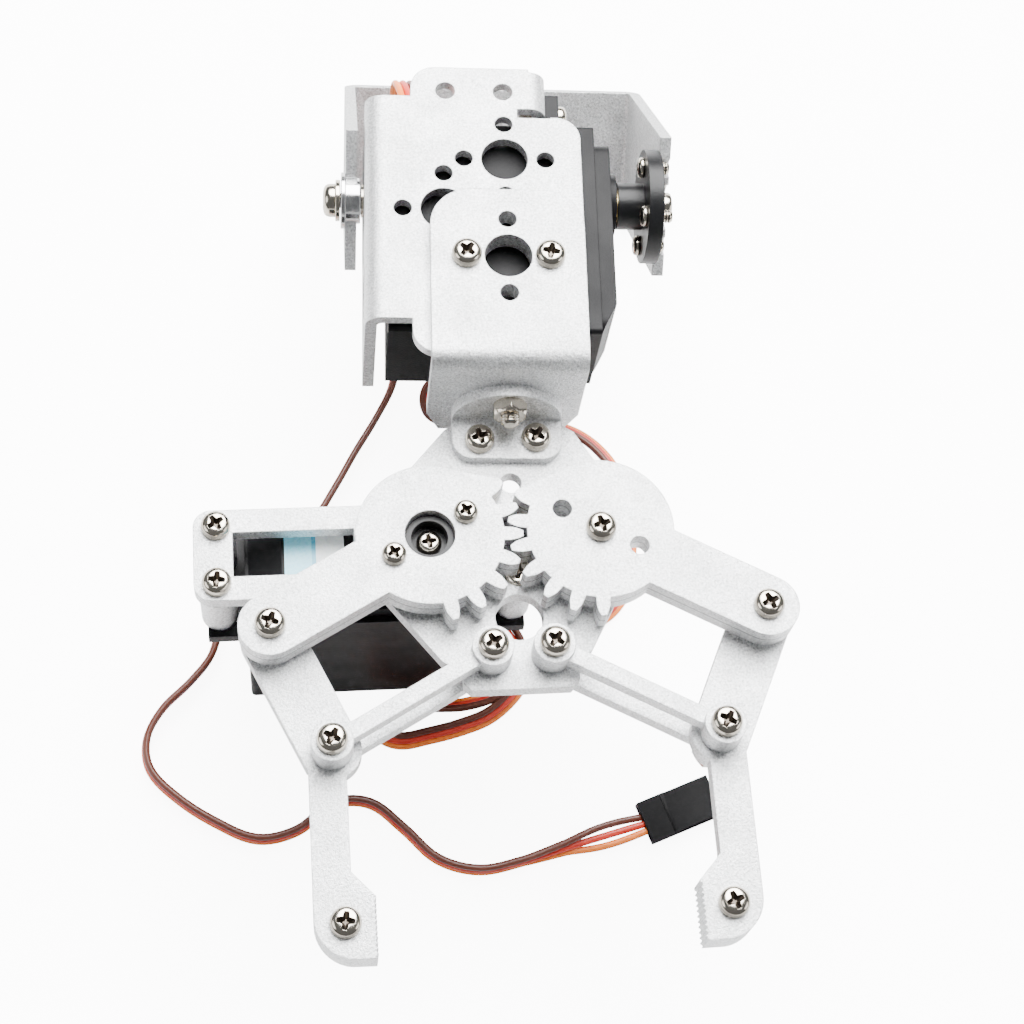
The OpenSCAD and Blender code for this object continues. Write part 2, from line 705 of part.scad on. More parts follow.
horn_screw_at = [30, 210];
module left_gear_arm() color(aluminium) place_claw() translate([-gear_x, 0, gear_z]) difference() {
    linear_extrude(gear_t) gear_outline(left_phase);
    translate([0, 0, -1]) cylinder(r = 4.15, h = gear_t + 2);
    for (a = horn_screw_at) rotate([0, 0, a]) translate([7, 0, -1]) cylinder(r = 1.02, h = gear_t + 2);
    translate([knuckle[0] + gear_x, knuckle[1], -1]) cylinder(r = m3_r + fit_gap, h = gear_t + 2);
}

module right_gear_arm() color(aluminium) place_claw() translate([gear_x, 0, gear_z]) difference() {
    linear_extrude(gear_t) mirror([1, 0]) gear_outline(left_phase - tooth_pitch / 2);
    translate([0, 0, -1]) cylinder(r = m3_r + fit_gap, h = gear_t + 2);
    for (p = [[-6.1, 3.7], [6.2, -3.3]]) translate([p[0], p[1], -1]) cylinder(r = 1.6, h = gear_t + 2);
    translate([-knuckle[0] - gear_x, knuckle[1], -1]) cylinder(r = m3_r + fit_gap, h = gear_t + 2);
}

horn_low = -3.4;
module grip_horn() color(black) place_claw() translate([-gear_x, 0, 0]) difference() {
    union() {
        translate([0, 0, horn_low]) cylinder(r = 4.4, h = 2);
        translate([0, 0, -1.6]) cylinder(r = 8.6, h = 2.6);
        cylinder(r = 4.05, h = 4.2);
    }
    translate([0, 0, horn_low - 1]) cylinder(r = shaft_r, h = 1 - horn_low + 0.6);
    cylinder(r = 1.4, h = 3);
    translate([0, 0, 1.4]) cylinder(r = 3, h = 4);
    for (a = horn_screw_at) rotate([0, 0, a]) translate([7, 0, -3]) cylinder(r = 1.02, h = 5);
}

module grip_horn_screws() color(nickel) place_claw() translate([-gear_x, 0, 0]) {
    for (a = horn_screw_at) rotate([0, 0, a]) translate([7, 0, gear_z + gear_t])
        pan_screw(gear_t + 1.6, 1, 2, 1.6);
    translate([0, 0, 1.4]) pan_screw(5, 1.4, 2.1, 1.6);
}

module grip_shaft() color(nickel) place_grip_servo() difference() {
    output_shaft(0.5 - grip_servo_z);
    translate([0, 0, -grip_servo_z - 5]) cylinder(r = 1.4, h = 7);
}

module right_gear_pin() color(nickel) place_claw() translate([gear_x, 0, gear_z + gear_t + 0.1])
    pan_screw(gear_z + gear_t + 0.1 + plate_t + m3_nut_h + 0.4);

// ---- Fingers and links, drawn for the left side and mirrored for the right

module side_place(s) {
    place_claw() if (s > 0) mirror([1, 0, 0]) children(); else children();
}

tip_inner = 5.9;
bar_inner = 2.2;
bar_outer = -3.9;
tip_r = 6.7;
module finger_outline() {
    translate(knuckle) circle(r = 5);
    translate(finger_pin) circle(r = 4.8);
    polygon([
        knuckle + 5 * [-cos(25), -sin(25)], finger_pin + [bar_outer - 0.2, -3],
        finger_pin + [bar_inner, -4], finger_pin + 4.8 * [cos(25), sin(25)], knuckle + 5 * [cos(25), sin(25)]
    ]);
    difference() {
        translate(finger_pin) polygon(concat(
            [[bar_outer, 0]], arc([bar_outer + tip_r, -26.8], tip_r, 180, 262, 10),
            [[tip_inner, -33.5], [tip_inner, -23.8], [bar_inner, -19.8], [bar_inner, 0]]
        ));
        for (i = [0:10]) translate(finger_pin + [tip_inner, -24.6 - 0.86 * i]) circle(r = 0.34, $fn = 8);
    }
}

module finger() {
    difference() {
        union() {
            translate([0, 0, -plate_t]) linear_extrude(plate_t) finger_outline();
            translate([0, 0, -6]) linear_extrude(3.1) intersection() {
                finger_outline();
                translate(finger_pin + [-10, -40]) square([20, 18.4]);
            }
        }
        for (p = [knuckle, finger_pin]) translate([p[0], p[1], -plate_t - 1])
            cylinder(r = m3_r + 0.01, h = plate_t + 2);
        translate([tip_pin[0], tip_pin[1], -8]) cylinder(r = m3_r + 0.01, h = 10);
    }
}

// Knuckle screw, link screw and tip screw of one finger
module finger_screws() {
    translate([knuckle[0], knuckle[1], gear_z + gear_t + 0.1]) pan_screw(gear_z + gear_t + plate_t + 1.2);
    translate([knuckle[0], knuckle[1], -plate_t - m3_nut_h]) hex_nut();
    translate([finger_pin[0], finger_pin[1], link_high + 0.1])
        pan_screw(link_high - link_low + 0.1 + m3_nut_h);
    translate([finger_pin[0], finger_pin[1], link_low - 0.1 - m3_nut_h]) hex_nut();
    translate([tip_pin[0], tip_pin[1], 0]) pan_screw(7);
}

link_high = 5.5;
link_bar_w = 2.7;
upper_gap = 0.3;
module link_bar(z0) {
    translate([base_pin[0], base_pin[1], z0]) rotate([0, 0, 180 + arm_angle])
        translate([2, -link_bar_w / 2, 0]) cube([arm_l - 4, link_bar_w, link_t]);
}

module link_eyes(z0, z1) {
    for (p = [base_pin, finger_pin]) translate([p[0], p[1], z0]) cylinder(r = eye_r, h = z1 - z0);
}

module link_bores(z0, z1, finger_r) {
    translate([base_pin[0], base_pin[1], z0]) cylinder(r = m3_r + fit_gap, h = z1 - z0);
    translate([finger_pin[0], finger_pin[1], z0]) cylinder(r = finger_r, h = z1 - z0);
}

open_bore = m3_r + 0.3;
module link_upper() {
    difference() {
        union() {
            link_bar(link_high - link_t - 1.2);
            link_eyes(upper_gap, link_high);
        }
        link_bores(-1, 8, open_bore);
    }
}

module link_lower() {
    difference() {
        union() {
            link_bar(link_low + 0.6);
            link_eyes(link_low, -plate_t - upper_gap);
        }
        link_bores(link_low - 1, 0, open_bore);
    }
}

module link_base_pins() color(nickel) place_claw()
    for (s = [-1, 1]) translate([s * base_pin[0], base_pin[1], 0]) {
        translate([0, 0, link_high + 0.1]) pan_screw(link_high - link_low + 0.2 + m3_nut_h);
        translate([0, 0, link_low - 0.1 - m3_nut_h]) hex_nut();
    }

module left_finger() color(aluminium) side_place(-1) finger();
module right_finger() color(aluminium) side_place(1) finger();
module left_finger_screws() color(nickel) side_place(-1) finger_screws();
module right_finger_screws() color(nickel) side_place(1) finger_screws();
module left_link_upper() color(aluminium) side_place(-1) link_upper();
module left_link_lower() color(aluminium) side_place(-1) link_lower();
module right_link_upper() color(aluminium) side_place(1) link_upper();
module right_link_lower() color(aluminium) side_place(1) link_lower();

// ---- Servo leads: flat three-wire cables, swept along hand-laid routes in the row's frame
lead_half_t = 0.65;
lead_half_w = 1.95;
relief_l = 2.5;
relief_w = 4.8;
relief_h = 2.8;

shoulder_route = [
    [-14.8, 12, 41.5], [-15, 17.5, 41.2], [-15.8, 23, 39.5], [-16.6, 27.2, 35.6], [-16.8, 28.4, 29.8],
    [-16.6, 26, 23.5], [-16.4, 21.6, 17], [-16.2, 16, 11.2], [-16, 9.6, 6.4], [-16, 2.4, 3.2],
    [-16.2, -5, 2.1], [-16.5, -12, 2.1], [-17.5, -19, 2.1], [-20.5, -25.5, 2.1], [-24.5, -32.5, 2.1],
    [-28.5, -40, 2.1], [-32.5, -46.5, 2.1], [-38, -51, 2.1], [-44, -54.5, 2.1], [-48, -60, 2.1],
    [-49, -66, 2.1], [-50.5, -72, 2.1], [-54.2, -77, 2.1], [-59, -82, 2.1], [-61.6, -87.5, 2.1],
    [-60.8, -93, 2.1], [-56, -98, 2.1], [-49, -102.5, 2.1], [-41.5, -105.5, 2.1], [-34.5, -104, 2.1],
    [-28, -99.2, 2.1], [-21.5, -99.2, 2.1], [-15.5, -103.8, 2.1], [-9.5, -109.2, 2.1], [-2, -111.2, 2.1],
    [6, -109.6, 2.1], [13.5, -107.3, 2.1], [20, -105.4, 2.1], [28, -103, 1.5]
];
grip_route = [
    [-0.9, -67.2, 6], [3, -67.9, 5.6], [5.2, -71, 4.6], [4.8, -75.2, 3.4], [1.4, -79, 2.2],
    [-4.2, -80.9, 1.8], [-9.6, -81.2, 1.8], [-15.2, -81.2, 1.8], [-19.2, -82.7, 1.8], [-19.7, -86, 1.8],
    [-16.2, -87.7, 1.8], [-11, -86.8, 1.8], [-5, -85.2, 1.8], [0.4, -82.9, 1.8], [4.9, -78.7, 1.8],
    [7.8, -73.6, 1.8], [11.6, -69, 1.8], [17.2, -66.2, 1.8], [22.4, -63.6, 1.8], [25.6, -59.4, 1.8],
    [27, -53, 1.8], [27.2, -46, 1.8], [26.2, -39.5, 1.8], [23.6, -33.5, 1.8], [18.8, -28.8, 1.8],
    [13, -26.6, 1.8], [3, -26, 1.8], [-7, -26, 1.8], [-10.4, -24.2, 1.8], [-10.4, -19.8, 1.8],
    [-7, -18, 1.8], [9, -18, 1.8], [12.4, -16.2, 1.8], [12.4, -11.8, 1.8], [9, -10, 1.8],
    [-5, -10, 1.8], [-8.4, -8.2, 1.8], [-8.4, -3.8, 1.8], [-5, -2, 1.8], [6, -2, 1.5]
];
plug_size = [14, 7.8, 2.6];
shoulder_plug_turn = 22;

function unit(v) = v / norm(v);
function blend(a, b, t) = a + (b - a) * min(1, max(0, t));
function heading(route, i) = unit(route[min(i + 1, len(route) - 1)] - route[max(i - 1, 0)]);

// Width direction of a ribbon that lies leaning on its edge
function leaning(t, lean) = [0, 0, 1] - lean * cross(t, [0, 0, 1]);

// Direction of the ribbon's width: across at the case, leaning where it lies, flat at the plug
function width_toward(i, t, lean, first_dir, on_edge_from, flat_from, flat_dir) =
    blend(blend(first_dir, leaning(t, lean), (i - on_edge_from) / 5), flat_dir, (i - flat_from) / 3);

function ribbon_ring(p, t, toward) =
    let(w = unit(toward - (toward * t) * t), s = cross(t, w))
    [for (k = [0:7]) let(a = k * 45 + 22.5)
        p + w * lead_half_w * sign(cos(a)) * min(1, abs(cos(a)) * 1.08)
          + s * lead_half_t * sign(sin(a)) * min(1, abs(sin(a)) * 1.08)];

module ribbon(route, lean, first_dir, on_edge_from, flat_from, flat_dir) {
    n = len(route);
    rings = [for (i = [0:n - 1]) ribbon_ring(route[i], heading(route, i),
        width_toward(i, heading(route, i), lean, first_dir, on_edge_from, flat_from, flat_dir))];
    polyhedron(
        points = [for (ring = rings) each ring],
        faces = concat(
            [[for (k = [0:7]) k]],
            [for (i = [0:n - 2], k = [0:7]) each let(a = i * 8 + k, b = i * 8 + (k + 1) % 8)
                [[a, a + 8, b + 8], [a, b + 8, b]]],
            [[for (k = [7:-1:0]) (n - 1) * 8 + k]]
        )
    );
}

module strain_relief() {
    translate([case_x0 + 1.4, 0, lead_z]) rotate([0, -90, 0]) cylinder(r = lead_hole_r, h = 1.4 + eps);
    translate([case_x0 - relief_l, -relief_w / 2, lead_z - relief_h / 2])
        cube([relief_l, relief_w, relief_h]);
}

module plug() {
    difference() {
        translate([0, -plug_size[1] / 2, -plug_size[2] / 2]) cube(plug_size);
        for (y = [-2.54, 0, 2.54]) translate([plug_size[0] - 8, y - 0.45, -0.45]) cube([9, 0.9, 0.9]);
    }
}

module shoulder_strain_relief() color(black) place_shoulder_servo() strain_relief();
module grip_strain_relief() color(black) place_grip_servo() strain_relief();

module shoulder_cord() color(wire_red) translate([row_shift[0], row_shift[1], 0])
    ribbon(shoulder_route, 0.15, [1, 0, 0], 5, len(shoulder_route) - 4, [-0.4, 0.9, 0]);

module grip_cord() color(wire_red) translate([row_shift[0], row_shift[1], 0])
    ribbon(grip_route, 0.8, [0, 1, 0], -1, len(grip_route) - 4, [0, 1, 0]);

module shoulder_plug() color(black) translate([row_shift[0], row_shift[1], 0])
    translate(shoulder_route[len(shoulder_route) - 1]) rotate([0, 0, shoulder_plug_turn]) plug();

module grip_plug() color(black) translate([row_shift[0], row_shift[1], 0])
    translate(grip_route[len(grip_route) - 1]) plug();

u_bracket();
shoulder_horn();
shoulder_horn_screws();
shoulder_center_screw();
shoulder_shaft();
pivot_bearing();
multi_bracket();
pivot_screw();
pivot_washer();
pivot_spacer();
pivot_nut();
shoulder_case_bottom();
shoulder_case_middle();
shoulder_case_top();
l_bracket();
l_bracket_screws();
l_bracket_nuts();
ear_screws();
ear_nuts();
wrist_bracket();
wrist_bolt();
wrist_nut();
wrist_bracket_screws();
claw_plate();
plate_nuts();
claw_standoffs();
claw_mount_screws();
claw_ear_screws();
grip_case_bottom();
grip_case_middle();
grip_case_top();
grip_label();
right_gear_pin();
link_base_pins();
servo_motors();
servo_gears();
servo_boards();
servo_potentiometers();
servo_case_screws();
shoulder_strain_relief();
shoulder_cord();
shoulder_plug();
grip_strain_relief();
grip_cord();
grip_plug();
left_gear_arm();
grip_horn();
grip_horn_screws();
grip_shaft();
right_gear_arm();
left_finger();
left_finger_screws();
right_finger();
right_finger_screws();
left_link_upper();
left_link_lower();
right_link_upper();
right_link_lower();
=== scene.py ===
import json
import math

import bmesh
import bpy
from mathutils import Matrix, Vector
from mathutils.geometry import interpolate_bezier


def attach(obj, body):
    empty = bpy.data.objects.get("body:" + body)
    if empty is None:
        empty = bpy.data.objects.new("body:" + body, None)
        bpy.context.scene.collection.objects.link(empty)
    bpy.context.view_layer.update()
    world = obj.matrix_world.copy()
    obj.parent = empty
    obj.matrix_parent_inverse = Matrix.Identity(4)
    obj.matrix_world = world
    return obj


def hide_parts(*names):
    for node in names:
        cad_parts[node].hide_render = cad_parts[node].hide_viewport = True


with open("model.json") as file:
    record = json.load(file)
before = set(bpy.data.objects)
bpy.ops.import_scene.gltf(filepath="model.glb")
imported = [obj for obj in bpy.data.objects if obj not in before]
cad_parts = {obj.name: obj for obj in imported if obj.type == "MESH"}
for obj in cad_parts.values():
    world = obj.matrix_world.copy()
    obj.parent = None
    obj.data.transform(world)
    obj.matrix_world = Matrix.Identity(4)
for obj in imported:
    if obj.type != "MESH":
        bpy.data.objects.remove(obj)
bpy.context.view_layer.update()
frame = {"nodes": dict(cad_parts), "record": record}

NODES = frame["nodes"]
MM = 0.001

# ---- The part's own frames, repeated from part.scad, in millimetres
SHIFT = Vector((2.22, 47.41, 0))
REST_TILT = 5.466292
REST_HEIGHT = 42.690062
U_X, U_WIDTH, U_REACH, U_ANGLE, U_STRIP = 1.5, 57.0, 44.7, 45.8, 25.0
CLAW_AT = (1.1, -63.3, -4.0)
CLAW_TURN = 2.6
GEAR_X = 14.1
ARM_L, ARM_ANGLE = 30.2, 29.0
KNUCKLE = Vector((-GEAR_X - ARM_L * math.cos(math.radians(ARM_ANGLE)),
                  -ARM_L * math.sin(math.radians(ARM_ANGLE)), 0))
BASE_PIN = Vector((-5.0, -19.5, 0))
FINGER_PIN = KNUCKLE + Vector((9.1, -19.5, 0))
TIP_PIN = FINGER_PIN + Vector((1, -27.8, 0))
SHEET, PLATE_T, EAR_T = 2.0, 3.0, 2.5
PATTERN_R = 7.0
SERVO_SEAT, CASE_BELOW = 7.6, 27.5
BRACKET_LEFT = -23.8
L_TOP, L_FRONT, L_SCREW_Y = 15.0, -39.2, -19.0
WRIST_X, WRIST_Z = 0.5, 4.0
WRIST_SCREW_X, WRIST_SCREW_Y = (-4.5, 5.1), 18.4
GRIP_SERVO_Z = -16.5
GEAR_TOP, LINK_TOP, LINK_LOW = 6.0, 5.5, -8.4
NUT_H = 2.4
EAR_X = (10.15 - 24.75, 10.15 + 24.75)
EAR_Y = (-5, 5)
CASE_SCREW_AT = [(x, y) for x in (-7.9, 28.2) for y in (-7.55, 7.55)]


def move(x=0, y=0, z=0):
    return Matrix.Translation((x, y, z))


def turn(degrees, axis):
    return Matrix.Rotation(math.radians(degrees), 4, axis)


ARM = (Matrix.Diagonal((MM, MM, MM, 1)) @ move(SHIFT.x, SHIFT.y, REST_HEIGHT)
       @ turn(-REST_TILT, "X"))
U = ARM @ move(U_X) @ turn(-U_ANGLE, "X")
CLAW = ARM @ move(*CLAW_AT) @ turn(CLAW_TURN, "Z")
GRIP_SERVO = CLAW @ move(-GEAR_X, 0, GRIP_SERVO_Z) @ turn(180, "Z")
SHOULDER_SERVO = ARM @ move(SERVO_SEAT) @ turn(-90, "X") @ turn(90, "Y")

# ---- Camera: from above and a little in front, turned slightly about its own axis
CAMERA_LENS = 76.12
CAMERA_AT = (-0.028556, -0.120276, 0.388723)
CAMERA_BACK = (-0.087858, -0.303410, 0.948801)
CAMERA_RIGHT = (0.996097, -0.018676, 0.086265)
camera = bpy.data.objects.new("camera", bpy.data.cameras.new("camera"))
bpy.context.scene.collection.objects.link(camera)
camera.data.lens = CAMERA_LENS
camera.data.sensor_width = 36.0
camera.data.clip_start = 0.01
camera.data.clip_end = 10.0
back = Vector(CAMERA_BACK).normalized()
right = Vector(CAMERA_RIGHT).normalized()
up = back.cross(right).normalized()
camera.matrix_world = (Matrix.Translation(CAMERA_AT)
                       @ Matrix((right, up, back)).transposed().to_4x4())
bpy.context.scene.camera = camera


# ---- Making pieces
def new_object(name, mesh, body):
    obj = bpy.data.objects.new(name, mesh)
    bpy.context.scene.collection.objects.link(obj)
    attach(obj, body)
    return obj


def mesh_from(bm, name, smooth_angle=35):
    mesh = bpy.data.meshes.new(name)
    bm.normal_update()
    bmesh.ops.recalc_face_normals(bm, faces=bm.faces)
    limit = math.radians(smooth_angle)
    for f in bm.faces:
        f.smooth = True
    for e in bm.edges:
        e.smooth = len(e.link_faces) == 2 and e.calc_face_angle(math.pi) < limit
    bm.to_mesh(mesh)
    bm.free()
    return mesh


def ring_loft(bm, rings):
    """Faces between rings of points that have the same count, closed at both ends."""
    loops = [[bm.verts.new(p) for p in ring] for ring in rings]
    n = len(loops[0])
    for a, b in zip(loops, loops[1:]):
        for k in range(n):
            bm.faces.new((a[k], a[(k + 1) % n], b[(k + 1) % n], b[k]))
    bm.faces.new(list(reversed(loops[0])))
    bm.faces.new(loops[-1])


def circle(r, z, n=40):
    return [Vector((r * math.cos(2 * math.pi * k / n), r * math.sin(2 * math.pi * k / n), z))
            for k in range(n)]


def turned(profile, n=40):
    """A closed turned shape from (radius, height) pairs, bottom to top."""
    bm = bmesh.new()
    ring_loft(bm, [circle(max(r, 0.002), z, n) for r, z in profile])
    return bm


def placed(bm, matrix):
    bm.transform(matrix)
    return bm


def joined(parts):
    """One bmesh from several."""
    whole = bmesh.new()
    for bm in parts:
        mesh = bpy.data.meshes.new("part")
        bm.to_mesh(mesh)
        bm.free()
        whole.from_mesh(mesh)
        bpy.data.meshes.remove(mesh)
    return whole


# ---- Leads: flat three-wire cables along the routes in part.scad, in metres
UP = Vector((0, 0, 1))
WIRE_PITCH = 1.3 * MM
LEAD_W, LEAD_T = 3.9 * MM, 1.3 * MM
SHOULDER_ROUTE = [
    (-14.8, 12, 41.5), (-15, 17.5, 41.2), (-15.8, 23, 39.5), (-16.6, 27.2, 35.6), (-16.8, 28.4, 29.8),
    (-16.6, 26, 23.5), (-16.4, 21.6, 17), (-16.2, 16, 11.2), (-16, 9.6, 6.4), (-16, 2.4, 3.2),
    (-16.2, -5, 2.1), (-16.5, -12, 2.1), (-17.5, -19, 2.1), (-20.5, -25.5, 2.1), (-24.5, -32.5, 2.1),
    (-28.5, -40, 2.1), (-32.5, -46.5, 2.1), (-38, -51, 2.1), (-44, -54.5, 2.1), (-48, -60, 2.1),
    (-49, -66, 2.1), (-50.5, -72, 2.1), (-54.2, -77, 2.1), (-59, -82, 2.1), (-61.6, -87.5, 2.1),
    (-60.8, -93, 2.1), (-56, -98, 2.1), (-49, -102.5, 2.1), (-41.5, -105.5, 2.1), (-34.5, -104, 2.1),
    (-28, -99.2, 2.1), (-21.5, -99.2, 2.1), (-15.5, -103.8, 2.1), (-9.5, -109.2, 2.1),
    (-2, -111.2, 2.1),
    (6, -109.6, 2.1), (13.5, -107.3, 2.1), (20, -105.4, 2.1), (28, -103, 1.5),
]
GRIP_ROUTE = [
    (-0.9, -67.2, 6), (3, -67.9, 5.6), (5.2, -71, 4.6), (4.8, -75.2, 3.4), (1.4, -79, 2.2),
    (-4.2, -80.9, 1.8), (-9.6, -81.2, 1.8), (-15.2, -81.2, 1.8), (-19.2, -82.7, 1.8), (-19.7, -86, 1.8),
    (-16.2, -87.7, 1.8), (-11, -86.8, 1.8), (-5, -85.2, 1.8), (0.4, -82.9, 1.8), (4.9, -78.7, 1.8),
    (7.8, -73.6, 1.8), (11.6, -69, 1.8), (17.2, -66.2, 1.8), (22.4, -63.6, 1.8), (25.6, -59.4, 1.8),
    (27, -53, 1.8), (27.2, -46, 1.8), (26.2, -39.5, 1.8), (23.6, -33.5, 1.8), (18.8, -28.8, 1.8),
    (13, -26.6, 1.8), (3, -26, 1.8), (-7, -26, 1.8), (-10.4, -24.2, 1.8), (-10.4, -19.8, 1.8),
    (-7, -18, 1.8), (9, -18, 1.8), (12.4, -16.2, 1.8), (12.4, -11.8, 1.8), (9, -10, 1.8),
    (-5, -10, 1.8), (-8.4, -8.2, 1.8), (-8.4, -3.8, 1.8), (-5, -2, 1.8), (6, -2, 1.5),
]


def blend(a, b, t):
    return a.lerp(b, min(1.0, max(0.0, t)))


def frames_along(route, lean, first_dir, on_edge_from, flat_dir, steps=6):
    """Centre, width direction and thickness direction along a smooth curve through the route."""
    p = [(Vector(q) + SHIFT) * MM for q in route]
    n = len(p)
    slopes = [(p[min(i + 1, n - 1)] - p[max(i - 1, 0)]).normalized() for i in range(n)]
    out = []
    for i in range(n - 1):
        reach = (p[i + 1] - p[i]).length
        h0 = slopes[i] * reach / 3
        h1 = slopes[i + 1] * reach / 3
        points = interpolate_bezier(p[i], p[i] + h0, p[i + 1] - h1, p[i + 1], steps + 1)
        for k in range(steps + (i == n - 2)):
            out.append((i + k / steps, points[k]))
    frames = []
    for j, (at, c) in enumerate(out):
        t = (out[min(j + 1, len(out) - 1)][1] - out[max(j - 1, 0)][1]).normalized()
        leaning = UP - lean * t.cross(UP)
        w = blend(Vector(first_dir), leaning, (at - on_edge_from) / 5)
        w = blend(w, Vector(flat_dir), (at - (n - 4)) / 3)
        w = (w - t * w.dot(t)).normalized()
        frames.append((c, w, t.cross(w).normalized(), t))
    return frames


def wire_mesh(frames, offsets, radius, n=12):
    """One round wire beside the ribbon's centre line."""
    bm = bmesh.new()
    rings = []
    for (c, w, s, _), (du, dv) in zip(frames, offsets):
        rings.append([c + w * (du + radius * math.cos(2 * math.pi * k / n))
                      + s * (dv + radius * math.sin(2 * math.pi * k / n)) for k in range(n)])
    ring_loft(bm, rings)
    return bm


def lead(name, frames, cad_node, fan=12):
    """The three wires lie side by side and part a little before the plug."""
    meshes = []
    for k in (1, 0, -1):
        count = len(frames)
        offsets = []
        for j in range(count):
            u = k * WIRE_PITCH
            v = 0.0
            left = count - 1 - j
            if left < fan:
                u *= 1 + 0.42 * math.sin(math.pi * left / fan)
                v = k * 0.1 * MM * math.sin(math.pi * left / fan)
            offsets.append((u, v))
        meshes.append(wire_mesh(frames, offsets, LEAD_T / 2 * 0.99))
    bm = joined(meshes)
    mesh = mesh_from(bm, name, 60)
    obj = new_object(name, mesh, "arm")
    per = len(mesh.polygons) // 3
    for i, poly in enumerate(mesh.polygons):
        poly.material_index = min(2, i // per)
    path = [f[0] for f in frames]
    length = sum((b - a).length for a, b in zip(path, path[1:]))
    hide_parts(cad_node)
    return obj, path, length


shoulder_frames = frames_along(SHOULDER_ROUTE, 0.15, (1, 0, 0), 5, (-0.4, 0.9, 0))
grip_frames = frames_along(GRIP_ROUTE, 0.8, (0, 1, 0), -1, (0, 1, 0))
shoulder_lead, shoulder_path, shoulder_len = lead("shoulder_lead", shoulder_frames, "shoulder_cord")
grip_lead, grip_path, grip_len = lead("grip_lead", grip_frames, "grip_cord")
print("lead lengths", round(shoulder_len, 4), round(grip_len, 4))


# ---- Materials, all from nodes
def shader(name, color, metallic=0.0, roughness=0.5):
    m = bpy.data.materials.new(name)
    m.use_nodes = True
    bsdf = m.node_tree.nodes["Principled BSDF"]
    bsdf.inputs["Base Color"].default_value = (*color, 1)
    bsdf.inputs["Metallic"].default_value = metallic
    bsdf.inputs["Roughness"].default_value = roughness
    return m, m.node_tree, bsdf


def node(tree, kind, **values):
    n = tree.nodes.new(kind)
    for key, value in values.items():
        if hasattr(n, key):
            setattr(n, key, value)
        else:
            n.inputs[key.replace("_", " ")].default_value = value
    return n


def noise(tree, coord, scale, detail=3.0, rough=0.55):
    n = node(tree, "ShaderNodeTexNoise", Scale=scale, Detail=detail, Roughness=rough)
    tree.links.new(coord.outputs["Object"], n.inputs["Vector"])
    return n


def between(tree, fac, low, high, from_low=0.0, from_high=1.0):
    n = node(tree, "ShaderNodeMapRange")
    n.inputs["From Min"].default_value = from_low
    n.inputs["From Max"].default_value = from_high
    n.inputs["To Min"].default_value = low
    n.inputs["To Max"].default_value = high
    tree.links.new(fac, n.inputs["Value"])
    return n.outputs["Result"]


def two_tone(tree, fac, dark, light):
    n = node(tree, "ShaderNodeMix", data_type="RGBA")
    n.inputs[6].default_value = (*dark, 1)
    n.inputs[7].default_value = (*light, 1)
    tree.links.new(fac, n.inputs["Factor"])
    return n.outputs[2]


def bumped(tree, bsdf, height, distance, strength=1.0, edge=0.0):
    b = node(tree, "ShaderNodeBump", Strength=strength, Distance=distance)
    tree.links.new(height, b.inputs["Height"])
    if edge:
        e = node(tree, "ShaderNodeBevel", samples=4)
        e.inputs["Radius"].default_value = edge
        tree.links.new(e.outputs["Normal"], b.inputs["Normal"])
    tree.links.new(b.outputs["Normal"], bsdf.inputs["Normal"])


def blasted_aluminium(name, tone=0.60, line_at=None):
    """Sand-blasted skin: bright and dark grains, faint cloudiness, and a seam line if asked."""
    m, tree, bsdf = shader(name, (tone, tone, tone * 1.01), 1.0, 0.5)
    coord = node(tree, "ShaderNodeTexCoord")
    grain = noise(tree, coord, 2600, 3.0, 0.75)
    cloud = noise(tree, coord, 120, 3.0)
    fine = between(tree, grain.outputs["Fac"], 0.0, 1.0, 0.32, 0.68)
    color = two_tone(tree, fine, (tone * 0.70, tone * 0.71, tone * 0.715),
                     (0.90, 0.905, 0.91))
    if line_at:
        origin, direction, height = line_at
        shift = node(tree, "ShaderNodeVectorMath", operation="SUBTRACT")
        shift.inputs[1].default_value = origin
        dot = node(tree, "ShaderNodeVectorMath", operation="DOT_PRODUCT")
        dot.inputs[1].default_value = direction
        tree.links.new(coord.outputs["Object"], shift.inputs[0])
        tree.links.new(shift.outputs["Vector"], dot.inputs[0])
        away = node(tree, "ShaderNodeMath", operation="SUBTRACT")
        away.inputs[1].default_value = height
        tree.links.new(dot.outputs["Value"], away.inputs[0])
        size = node(tree, "ShaderNodeMath", operation="ABSOLUTE")
        tree.links.new(away.outputs[0], size.inputs[0])
        seam = between(tree, size.outputs[0], 0.0, 1.0, 0.00008, 0.00022)
        mix = node(tree, "ShaderNodeMix", data_type="RGBA")
        mix.inputs[6].default_value = (0.30, 0.30, 0.31, 1)
        tree.links.new(seam, mix.inputs["Factor"])
        tree.links.new(color, mix.inputs[7])
        color = mix.outputs[2]
    tree.links.new(color, bsdf.inputs["Base Color"])
    tree.links.new(between(tree, cloud.outputs["Fac"], 0.40, 0.56, 0.3, 0.7),
                   bsdf.inputs["Roughness"])
    bumped(tree, bsdf, grain.outputs["Fac"], 0.00014, 1.0, 0.0003)
    return m


def plated(name, color, rough, grain=900.0, edge=0.00012):
    """Plated or machined metal with faint smears."""
    m, tree, bsdf = shader(name, color, 1.0, rough)
    coord = node(tree, "ShaderNodeTexCoord")
    smear = noise(tree, coord, grain, 4.0)
    tree.links.new(between(tree, smear.outputs["Fac"], rough * 0.7, rough * 1.5, 0.3, 0.7),
                   bsdf.inputs["Roughness"])
    dark = tuple(c * 0.82 for c in color)
    tree.links.new(two_tone(tree, smear.outputs["Fac"], dark, color), bsdf.inputs["Base Color"])
    bumped(tree, bsdf, smear.outputs["Fac"], 0.00004, 0.35, edge)
    return m


